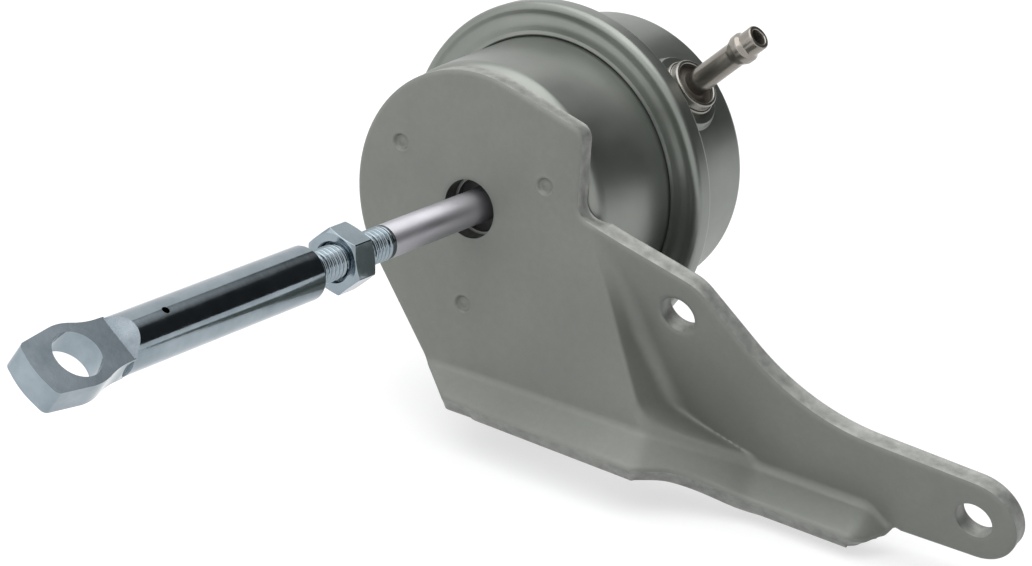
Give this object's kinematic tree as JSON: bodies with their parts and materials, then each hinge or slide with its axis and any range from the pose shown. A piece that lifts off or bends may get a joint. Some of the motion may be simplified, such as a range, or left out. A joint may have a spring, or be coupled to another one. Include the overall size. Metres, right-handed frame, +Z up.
{
  "type": "pneumatic turbo actuator",
  "caption": "Sprung diaphragm can on a joggled steel bracket; hose pressure pushes out a rod with an adjustable flattened eye end and a lock nut.",
  "frame": {"origin": "centre of the near bolt hole of the bracket's arm, in the middle of the sheet", "axes": "+X along the rod's axis toward the back of the can, +Z up, the arm reaches toward -Y"},
  "size_m": [0.1531, 0.1357, 0.0748],
  "materials": {
    "bracket_steel": "satin zinc coat, lighter cut edges",
    "shell_steel": "drawn steel with a soft shine",
    "nipple_steel": "darker drawn tube, satin",
    "braze": "dull braze",
    "rubber": "matt",
    "inner_steel": "plain pressed steel",
    "rod_steel": "drawn bar, fine lengthwise grain",
    "spring_steel": "wound wire, satin",
    "guide": "matt, dark",
    "zinc": "bright blue-white zinc"
  },
  "bodies": {
    "can": {"bracket": "bracket_steel", "front_shell": "shell_steel", "rear_shell": "shell_steel", "hose_nipple": "nipple_steel", "nipple_collar": "nipple_steel", "braze_ring": "braze", "diaphragm": "rubber", "return_spring": "spring_steel", "spring_seat": "inner_steel", "guide_cage": "inner_steel", "guide_ring": "guide"},
    "push_rod": {"rod": "rod_steel", "piston_cup": "inner_steel", "retainer_plate": "inner_steel", "shoulder_washer": "inner_steel", "rivet_washer": "inner_steel"},
    "nut": {"lock_nut": "zinc"},
    "eye_end": {"rod_end": "zinc"}
  },
  "joints": [
    {"name": "rod_slide", "type": "slide", "parent": "can", "child": "push_rod", "axis": [-1, 0, 0], "range_m": [0, 0.012], "stiffness_N_per_m": 4000, "springref_m": -0.012, "deforming": ["return_spring", "diaphragm"]},
    {"name": "nut_turn", "type": "hinge", "parent": "push_rod", "child": "nut", "pos_m": [-0.0393, 0.0416, 0.00838], "axis": [-1, 0, 0], "continuous": true},
    {"name": "eye_turn", "type": "hinge", "parent": "push_rod", "child": "eye_end", "pos_m": [-0.065, 0.0416, 0.00838], "axis": [-1, 0, 0], "continuous": true}
  ]
}
